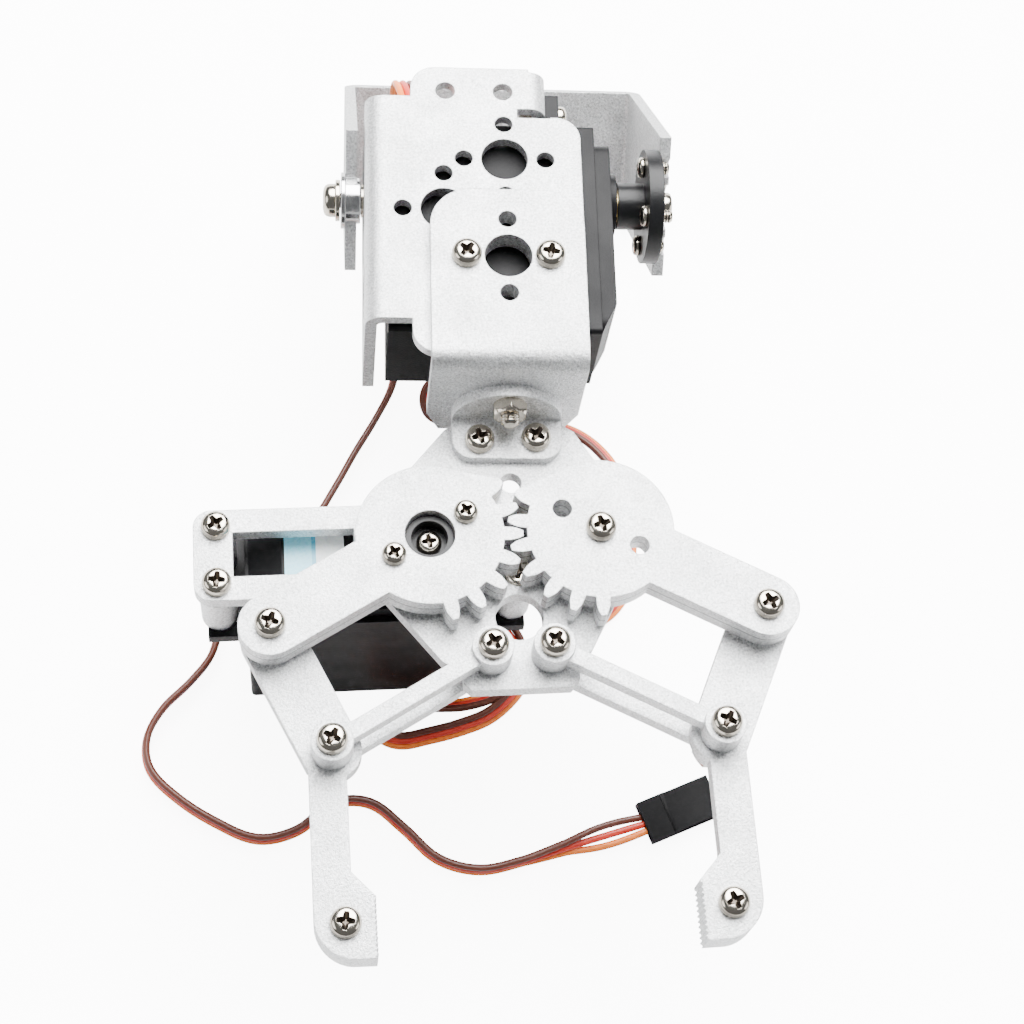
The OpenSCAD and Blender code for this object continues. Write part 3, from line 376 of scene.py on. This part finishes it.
def moulded(name, color, rough, grain=3200.0, depth=0.00005, edge=0.00022,
            specular=0.5):
    """Moulded plastic or rubber with a spark-eroded texture and slight handling shine."""
    m, tree, bsdf = shader(name, color, 0.0, rough)
    bsdf.inputs["Specular IOR Level"].default_value = specular
    coord = node(tree, "ShaderNodeTexCoord")
    fine = noise(tree, coord, grain, 2.0, 0.6)
    patch = noise(tree, coord, 90, 3.0)
    light = tuple(min(1.0, c * 1.5 + 0.002) for c in color)
    tree.links.new(two_tone(tree, patch.outputs["Fac"], color, light), bsdf.inputs["Base Color"])
    tree.links.new(between(tree, patch.outputs["Fac"], rough * 0.8, rough * 1.2, 0.3, 0.7),
                   bsdf.inputs["Roughness"])
    bumped(tree, bsdf, fine.outputs["Fac"], depth, 0.8, edge)
    return m


GEAR_SEAM = 3.5
ALUMINIUM = blasted_aluminium("blasted_aluminium")
claw_up = (CLAW.to_3x3() @ Vector((0, 0, 1))).normalized()
GEAR_ALUMINIUM = blasted_aluminium(
    "gear_aluminium", 0.60, (tuple(CLAW @ Vector((0, 0, 0))), tuple(claw_up), GEAR_SEAM * MM))
CASE_BLACK = moulded("servo_case_black", (0.004, 0.004, 0.0045), 0.42, specular=0.12)
HORN_BLACK = moulded("horn_black", (0.004, 0.004, 0.0045), 0.36, 2400, 0.00003, specular=0.25)
PLUG_BLACK = moulded("plug_black", (0.003, 0.003, 0.0035), 0.5, 2600, 0.00003, 0.00015, 0.1)
RUBBER_BLACK = moulded("relief_rubber", (0.016, 0.016, 0.016), 0.6, 1800, 0.00004, 0.0003, 0.35)
NICKEL = plated("nickel_plate", (0.60, 0.55, 0.47), 0.14)
# painted shade: the cut recess faces of screw heads get this near-black colour in place of the nickel
RECESS_PAINTED_SHADE = plated("recess_painted_shade", (0.13, 0.11, 0.09), 0.34)
BEARING_STEEL = plated("bearing_steel", (0.70, 0.70, 0.70), 0.16)
MOTOR_STEEL = plated("motor_steel", (0.62, 0.62, 0.63), 0.28, 300)
BRASS = plated("gear_brass", (0.72, 0.56, 0.28), 0.27, 700)
BOARD = moulded("board_green", (0.02, 0.12, 0.045), 0.35, 1500)
SENSOR = moulded("sensor_blue", (0.03, 0.05, 0.12), 0.4, 1500)
GOLD = plated("contact_gold", (0.85, 0.62, 0.26), 0.22)
WIRE_COLOURS = (("brown", (0.085, 0.022, 0.012)), ("red", (0.50, 0.030, 0.016)),
                ("orange", (0.80, 0.17, 0.022)))
WIRES = [moulded("wire_" + n, c, 0.36, 1400, 0.00003, 0.0, 0.45) for n, c in WIRE_COLOURS]


LABEL_X, LABEL_L = 13.8, 10.0


def label_material():
    """Plain printed label without lettering: a light end, a darker bar and a blue field."""
    m, tree, bsdf = shader("servo_label", (0.3, 0.62, 0.75), 0.0, 0.3)
    coord = node(tree, "ShaderNodeTexCoord")
    place = node(tree, "ShaderNodeVectorMath", operation="DOT_PRODUCT")
    along = (GRIP_SERVO.to_3x3() @ Vector((1, 0, 0))).normalized()
    start = along.dot(GRIP_SERVO @ Vector((LABEL_X, 0, 0)))
    place.inputs[1].default_value = along
    tree.links.new(coord.outputs["Object"], place.inputs[0])
    ramp = node(tree, "ShaderNodeValToRGB")
    r = ramp.color_ramp
    r.interpolation = "CONSTANT"
    r.elements[0].position, r.elements[0].color = 0.0, (0.80, 0.84, 0.84, 1)
    r.elements[1].position, r.elements[1].color = 0.47, (0.10, 0.42, 0.60, 1)
    e = r.elements.new(0.54)
    e.color = (0.26, 0.66, 0.80, 1)
    share = between(tree, place.outputs["Value"], 0.0, 1.0, start, start + LABEL_L * MM)
    tree.links.new(share, ramp.inputs["Fac"])
    print_noise = noise(tree, coord, 1600, 2.0)
    tint = node(tree, "ShaderNodeMix", data_type="RGBA", blend_type="MULTIPLY")
    tint.inputs["Factor"].default_value = 0.12
    tree.links.new(ramp.outputs["Color"], tint.inputs[6])
    tree.links.new(print_noise.outputs["Color"], tint.inputs[7])
    tree.links.new(tint.outputs[2], bsdf.inputs["Base Color"])
    tree.links.new(between(tree, print_noise.outputs["Fac"], 0.22, 0.36, 0.3, 0.7),
                   bsdf.inputs["Roughness"])
    bumped(tree, bsdf, print_noise.outputs["Fac"], 0.00001, 0.4)
    return m


LABEL = label_material()


def dress(obj, *materials):
    if not len(obj.material_slots):
        for m in materials:
            obj.data.materials.append(m)
        return
    for s in obj.material_slots:
        s.link = "OBJECT"
        s.material = materials[0]


BY_SLOT = {
    "aluminium": ALUMINIUM, "servo_case": CASE_BLACK, "black_plastic": HORN_BLACK,
    "relief_rubber": RUBBER_BLACK, "lead": WIRES[1], "label": LABEL, "nickel": NICKEL,
    "motor_steel": MOTOR_STEEL, "gear_brass": BRASS, "board": BOARD, "sensor": SENSOR,
}
for part in frame["record"]["subparts"]:
    dress(NODES[part["node"]], BY_SLOT[part["material_slot"]])
for name in ("left_gear_arm", "right_gear_arm"):
    dress(NODES[name], GEAR_ALUMINIUM)
dress(shoulder_lead, *WIRES)
dress(grip_lead, *WIRES)


# ---- Screws and nuts with real heads, recesses and threads
def cut(bm, cutters):
    """bm without the cutters, worked in millimetres; the cut faces get the second material, a near-black
    painted shade for the screw recesses.
    """
    def temp(b, name):
        mesh = bpy.data.meshes.new(name)
        bmesh.ops.recalc_face_normals(b, faces=b.faces)
        b.to_mesh(mesh)
        b.free()
        obj = bpy.data.objects.new(name, mesh)
        bpy.context.scene.collection.objects.link(obj)
        return obj
    target = temp(bm, "target")
    target.data.materials.append(NICKEL)
    target.data.materials.append(RECESS_PAINTED_SHADE)
    others = []
    for c in cutters:
        for f in c.faces:
            f.material_index = 1
        tool = temp(c, "tool")
        tool.data.materials.append(NICKEL)
        tool.data.materials.append(RECESS_PAINTED_SHADE)
        others.append(tool)
        mod = target.modifiers.new("cut", "BOOLEAN")
        mod.operation, mod.solver, mod.object = "DIFFERENCE", "EXACT", tool
    bpy.context.view_layer.update()
    graph = bpy.context.evaluated_depsgraph_get()
    mesh = bpy.data.meshes.new_from_object(target.evaluated_get(graph))
    out = bmesh.new()
    out.from_mesh(mesh)
    for o in [target, *others]:
        data = o.data
        bpy.data.objects.remove(o)
        bpy.data.meshes.remove(data)
    bpy.data.meshes.remove(mesh)
    return out


def cross_cutter(size, top, depth):
    """A Phillips point: four tapering wings that meet in a small cone."""
    def outline(scale, z):
        a, b = 0.24 * scale, scale
        return [Vector((x, y, z)) for x, y in (
            (b, -a), (b, a), (a * 1.5, a * 1.5), (a, b), (-a, b), (-a * 1.5, a * 1.5),
            (-b, a), (-b, -a), (-a * 1.5, -a * 1.5), (-a, -b), (a, -b), (a * 1.5, -a * 1.5))]
    bm = bmesh.new()
    ring_loft(bm, [outline(size * 0.30, top - depth), outline(size * 0.62, top - depth * 0.55),
                   outline(size, top + 0.02), outline(size * 1.05, top + 1.0)])
    return bm


THREAD_PITCH = 0.5
# How far out and up a pan head's side goes, as shares of its radius and height
HEAD_DOME = ((1.0, 0.42), (0.965, 0.64), (0.88, 0.81), (0.74, 0.92), (0.5, 0.985))


def threaded(r, low, high):
    """Shank with a thread on its lower part and a chamfered end; nothing is wider than r."""
    profile = [(0.002, low), (r * 0.72, low), (r * 0.9, low + 0.3)]
    z = low + 0.4
    while z + THREAD_PITCH < high:
        profile += [(r * 0.995, z + 0.1), (r * 0.995, z + 0.16),
                    (r * 0.86, z + 0.36), (r * 0.86, z + 0.42)]
        z += THREAD_PITCH
    profile += [(r * 0.995, high)]
    return profile


def pan_screw(length, r=1.5, head_r=2.5, head_h=2.0, flat=False):
    """z = 0 under the head, as in part.scad."""
    shank = threaded(r, -length, -0.35)
    head = [(head_r * 0.97, 0.0), (head_r, 0.1)]
    if flat:
        head += [(head_r, head_h - 0.12), (head_r - 0.12, head_h)]
    else:
        head += [(head_r * across, head_h * along) for across, along in HEAD_DOME]
    head.append((0.002, head_h))
    body = turned(shank + head, 36)
    depth = min(1.35, head_h * 0.78)
    return cut(body, [cross_cutter(head_r * 0.62, head_h, depth)])


def hexagon(r, z, n=24):
    """n points round a hexagon with its corners at distance r, the first corner on +X."""
    out = []
    for k in range(n):
        a = 2 * math.pi * k / n
        to_flat = a % (math.pi / 3) - math.pi / 6
        d = r * math.cos(math.pi / 6) / math.cos(to_flat)
        out.append(Vector((d * math.cos(a), d * math.sin(a), z)))
    return out


def hex_nut(r=3.17, h=2.4, bore=1.5):
    """Chamfered both sides, with a lead-in at the bore."""
    bm = bmesh.new()
    flat_r = r * math.cos(math.pi / 6)
    between_r = (flat_r + r) / 2 + 0.02

    def limit(ring, most):
        return [Vector((p.x, p.y, 0)).normalized() * min(most, Vector((p.x, p.y, 0)).length)
                + Vector((0, 0, p.z)) for p in ring]

    rings = [
        circle(bore, 0.12, 24), circle(bore + 0.22, 0, 24),
        limit(hexagon(r, 0), flat_r * 0.985), limit(hexagon(r, h * 0.16), between_r),
        hexagon(r, h * 0.27), hexagon(r, h * 0.73), limit(hexagon(r, h * 0.84), between_r),
        limit(hexagon(r, h), flat_r * 0.985), circle(bore + 0.22, h, 24), circle(bore, h - 0.12, 24),
    ]
    loops = [[bm.verts.new(p) for p in ring] for ring in rings]
    loops.append(loops[0])
    for a, b in zip(loops, loops[1:]):
        for k in range(24):
            bm.faces.new((a[k], a[(k + 1) % 24], b[(k + 1) % 24], b[k]))
    return bm


def ring_turned(profile, n=48):
    """A turned ring from a closed (radius, height) profile."""
    bm = bmesh.new()
    loops = [[bm.verts.new(p) for p in circle(r, z, n)] for r, z in profile]
    loops.append(loops[0])
    for a, b in zip(loops, loops[1:]):
        for k in range(n):
            bm.faces.new((a[k], a[(k + 1) % n], b[(k + 1) % n], b[k]))
    return bm


# screw pieces default to nickel, with painted shade on their recess faces
def hardware(name, body, parts, cad_node, materials=(NICKEL, RECESS_PAINTED_SHADE)):
    """parts is a list of (bmesh, matrix); the piece stands for one CAD node."""
    mesh = mesh_from(joined([placed(bm, matrix) for bm, matrix in parts]), name, 32)
    for m in materials:
        mesh.materials.append(m)
    obj = new_object(name, mesh, body)
    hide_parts(cad_node)
    return obj


HORN = U @ move(U_WIDTH / 2 - SHEET) @ turn(90, "Y")
hardware("horn_screws", "base", [
    (pan_screw(4.4, 1.18, 1.8, 1.2),
     HORN @ turn(a, "Z") @ move(PATTERN_R, 0, -2.6) @ turn(180, "X") @ turn(17 + a / 3, "Z"))
    for a in (0, 90, 180, 270)], "shoulder_horn_screws")
center = turned([(0.002, -5.5), (1.4, -5.5), (1.4, 0.0), (3.45, 0.0), (3.6, 0.1), (3.6, 0.7),
                 (3.5, 0.8), (2.5, 0.8), (2.6, 0.95), (2.6, 2.0), (2.4, 2.4), (1.9, 2.6),
                 (0.002, 2.6)], 40)
hardware("horn_center_screw", "base", [
    (cut(center, [cross_cutter(1.5, 2.6, 1.2)]), HORN @ turn(31, "Z"))], "shoulder_center_screw")
hardware("bearing", "base", [(ring_turned([
    (1.56, -2.6), (3.85, -2.6), (3.98, -2.45), (3.98, 0.0), (4.8, 0.0), (4.9, 0.1), (4.9, 0.7),
    (4.8, 0.8), (3.5, 0.8), (3.4, 0.62), (2.5, 0.62), (2.4, 0.8), (1.7, 0.8), (1.56, 0.66)]),
    U @ move(-U_WIDTH / 2) @ turn(-90, "Y"))], "pivot_bearing", (BEARING_STEEL,))
PIVOT_HEAD_X = U_X - U_WIDTH / 2 - 1.75
hardware("pivot_screw_piece", "arm", [
    (pan_screw(SERVO_SEAT - CASE_BELOW - 0.2 - PIVOT_HEAD_X, 1.5, 2.9, 2.2),
     ARM @ move(PIVOT_HEAD_X) @ turn(-90, "Y"))], "pivot_screw")
hardware("pivot_washer_piece", "arm", [(ring_turned([
    (1.5, 0), (3.5, 0), (3.6, 0.1), (3.6, 0.7), (3.5, 0.8), (1.5, 0.8)]),
    ARM @ move(PIVOT_HEAD_X) @ turn(90, "Y"))], "pivot_washer")
hardware("pivot_nut_piece", "arm", [
    (hex_nut(2.75, 1.5), ARM @ move(BRACKET_LEFT + SHEET) @ turn(90, "Y"))], "pivot_nut")
hardware("plate_screws_upper", "arm", [
    (pan_screw(5), ARM @ move(s * PATTERN_R, L_SCREW_Y, L_TOP) @ turn(20 - 30 * s, "Z"))
    for s in (-1, 1)], "l_bracket_screws")
hardware("plate_nuts_upper", "arm", [
    (hex_nut(2.9, 1), ARM @ move(s * PATTERN_R, L_SCREW_Y, L_TOP - 2 * SHEET - 1))
    for s in (-1, 1)], "l_bracket_nuts")
hardware("servo_ear_screws", "arm", [
    (pan_screw(6.7, 1.5, 2.2, 1.8),
     ARM @ move(SERVO_SEAT + EAR_T, -x, z) @ turn(90, "Y") @ turn(25 * z + x, "Z"))
    for x in EAR_X for z in EAR_Y], "ear_screws")
hardware("servo_ear_nuts", "arm", [
    (hex_nut(2.4, 2.2), ARM @ move(SERVO_SEAT - SHEET, -x, z) @ turn(-90, "Y"))
    for x in EAR_X for z in EAR_Y], "ear_nuts")
hardware("wrist_screws", "arm", [
    (pan_screw(8), CLAW @ move(x, WRIST_SCREW_Y, SHEET) @ turn(a, "Z"))
    for x, a in zip(WRIST_SCREW_X, (15, 55))], "wrist_bracket_screws")
hardware("wrist_bolt_piece", "arm", [
    (pan_screw(8, 1.5, 2.8, 1.1),
     ARM @ move(WRIST_X, L_FRONT + SHEET, WRIST_Z) @ turn(-90, "X"))], "wrist_bolt")
hardware("wrist_nut_piece", "arm", [
    (hex_nut(), ARM @ move(WRIST_X, L_FRONT - SHEET, WRIST_Z) @ turn(90, "X") @ turn(30, "Z"))],
    "wrist_nut")
hardware("plate_nuts_piece", "arm", [
    (hex_nut(), CLAW @ move(x, y, -PLATE_T - NUT_H))
    for x, y in [(x, WRIST_SCREW_Y) for x in WRIST_SCREW_X] + [(GEAR_X, 0)]], "plate_nuts")
hardware("claw_frame_screws", "arm", [
    (pan_screw(7.5, 1.5, 2.4, 2.0 if x > 0 else 0.8),
     CLAW @ move(-GEAR_X - x, y, 0) @ turn(12 + 4 * y, "Z"))
    for x in EAR_X for y in EAR_Y], "claw_mount_screws")
hardware("claw_ear_screws_piece", "arm", [
    (pan_screw(7.5),
     CLAW @ move(-GEAR_X - x, y, GRIP_SERVO_Z) @ turn(180, "X") @ turn(9 * y, "Z"))
    for x in EAR_X for y in EAR_Y], "claw_ear_screws")
hardware("grip_horn_screws_piece", "left_gear", [
    (pan_screw(6.6, 1.0, 2.0, 1.6),
     CLAW @ move(-GEAR_X) @ turn(a, "Z") @ move(PATTERN_R, 0, GEAR_TOP)) for a in (30, 210)]
    + [(pan_screw(5, 1.4, 2.1, 1.6), CLAW @ move(-GEAR_X, 0, 1.4) @ turn(8, "Z"))],
    "grip_horn_screws")
hardware("right_gear_screw", "arm", [
    (pan_screw(11.9), CLAW @ move(GEAR_X, 0, GEAR_TOP + 0.1) @ turn(15, "Z"))],
    "right_gear_pin")
hardware("link_base_screws", "arm", [
    part for s in (-1, 1) for part in (
        (pan_screw(16.5),
         CLAW @ move(-BASE_PIN.x * s, BASE_PIN.y, LINK_TOP + 0.1) @ turn(40 + 12 * s, "Z")),
        (hex_nut(), CLAW @ move(-BASE_PIN.x * s, BASE_PIN.y, LINK_LOW - 0.1 - NUT_H)))],
    "link_base_pins")
for side, body in ((-1, "left"), (1, "right")):
    def at(p, z, a=0):
        return CLAW @ move(-side * p.x, p.y, z) @ turn(a, "Z")

    hardware(body + "_finger_hardware", body + "_finger", [
        (pan_screw(10.2), at(KNUCKLE, GEAR_TOP + 0.1, 22 * side)),
        (hex_nut(), at(KNUCKLE, -PLATE_T - NUT_H)),
        (pan_screw(16.4), at(FINGER_PIN, LINK_TOP + 0.1, 60)),
        (hex_nut(), at(FINGER_PIN, LINK_LOW - 0.1 - NUT_H)),
        (pan_screw(7), at(TIP_PIN, 0, 14 * side + 5))], body + "_finger_screws")
hardware("case_screws", "arm", [
    (pan_screw(32.4, 1.0, 1.7, 1.2, True),
     servo @ move(x, y, 1.2 - CASE_BELOW) @ turn(180, "X") @ turn(5 * x, "Z"))
    for servo in (SHOULDER_SERVO, GRIP_SERVO) for x, y in CASE_SCREW_AT], "servo_case_screws")


# ---- Lead plugs: three-way housing with catch windows, sockets and contacts
PLUG = (14.0, 7.8, 2.6)


def rounded_box(size, at, r):
    bm = bmesh.new()
    bmesh.ops.create_cube(bm, size=1, matrix=Matrix.Translation(at) @ Matrix.Diagonal((*size, 1)))
    if r:
        bmesh.ops.bevel(bm, geom=bm.edges[:], offset=r, segments=2, affect="EDGES", profile=0.5)
    return bm


def plug_mesh():
    body = rounded_box((PLUG[0], PLUG[1], PLUG[2]), (PLUG[0] / 2, 0, 0), 0.18)
    cutters = []
    for y in (-2.54, 0, 2.54):
        cutters.append(rounded_box((5.0, 0.9, 0.9), (PLUG[0] - 2.0, y, 0), 0))
        cutters.append(rounded_box((3.2, 1.1, 0.9), (5.2, y, -PLUG[2] / 2), 0))
        cutters.append(rounded_box((2.0, 1.35, 1.35), (0.4, y, 0), 0))
    cutters.append(rounded_box((4.5, PLUG[1] + 1, 0.3), (2.25, 0, PLUG[2] / 2), 0))
    for y in (-PLUG[1] / 2, PLUG[1] / 2):
        cutters.append(rounded_box((8.6, 0.5, 1.0), (9.6, y, PLUG[2] / 2 - 0.35), 0))
    housing = cut(body, cutters)
    for f in housing.faces:
        f.material_index = 0
    contacts = []
    for y in (-2.54, 0, 2.54):
        clip = rounded_box((2.6, 0.8, 0.3), (5.2, y, 0.62 - PLUG[2] / 2), 0.06)
        for f in clip.faces:
            f.material_index = 1
        contacts.append(clip)
    return joined([housing, *contacts])


def plug_piece(name, matrix, cad_node):
    mesh = mesh_from(placed(plug_mesh(), matrix), name, 30)
    mesh.materials.append(PLUG_BLACK)
    mesh.materials.append(GOLD)
    obj = new_object(name, mesh, "arm")
    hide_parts(cad_node)
    return obj


def on_floor(point, degrees):
    scale = Matrix.Diagonal((MM, MM, MM, 1))
    return scale @ Matrix.Translation(Vector(point) + SHIFT) @ turn(degrees, "Z")


shoulder_end = plug_piece("shoulder_lead_plug", on_floor(SHOULDER_ROUTE[-1], 22), "shoulder_plug")
grip_end = plug_piece("grip_lead_plug", on_floor(GRIP_ROUTE[-1], 0), "grip_plug")

# ---- Floor and light
floor = bpy.data.objects.new("floor", bpy.data.meshes.new("floor"))
bm = bmesh.new()
bmesh.ops.create_grid(bm, x_segments=1, y_segments=1, size=3.0, matrix=Matrix.Translation((0, 0, -0.0002)))
bm.to_mesh(floor.data)
bm.free()
bpy.context.scene.collection.objects.link(floor)
paper, paper_tree, paper_bsdf = shader("paper_floor", (0.93, 0.93, 0.93), 0.0, 0.9)
paper_bsdf.inputs["Emission Color"].default_value = (1, 1, 1, 1)
# the paper looks white to the camera, and throws less light on the part than it shows
ray = node(paper_tree, "ShaderNodeLightPath")
paper_tree.links.new(between(paper_tree, ray.outputs["Is Camera Ray"], 0.05, 9.0),
                     paper_bsdf.inputs["Emission Strength"])
floor.data.materials.append(paper)

world = bpy.data.worlds.new("studio")
bpy.context.scene.world = world
world.use_nodes = True
world.node_tree.nodes["Background"].inputs["Color"].default_value = (0.9, 0.93, 0.96, 1)
world.node_tree.nodes["Background"].inputs["Strength"].default_value = 0.22


def area_light(name, place, target, size, power):
    data = bpy.data.lights.new(name, "AREA")
    data.shape, data.size, data.energy = "DISK", size, power
    lamp = bpy.data.objects.new(name, data)
    bpy.context.scene.collection.objects.link(lamp)
    to = Vector(target) - Vector(place)
    lamp.matrix_world = Matrix.Translation(place) @ to.to_track_quat("-Z", "Y").to_matrix().to_4x4()
    return lamp


area_light("overhead", (0.1, 0.54, 0.8), (0, 0.04, 0.03), 0.95, 52)
area_light("left_fill", (-0.8, -0.1, 0.5), (0, 0, 0.03), 0.6, 3)
area_light("right_fill", (0.8, -0.2, 0.45), (0, 0, 0.03), 0.5, 2)
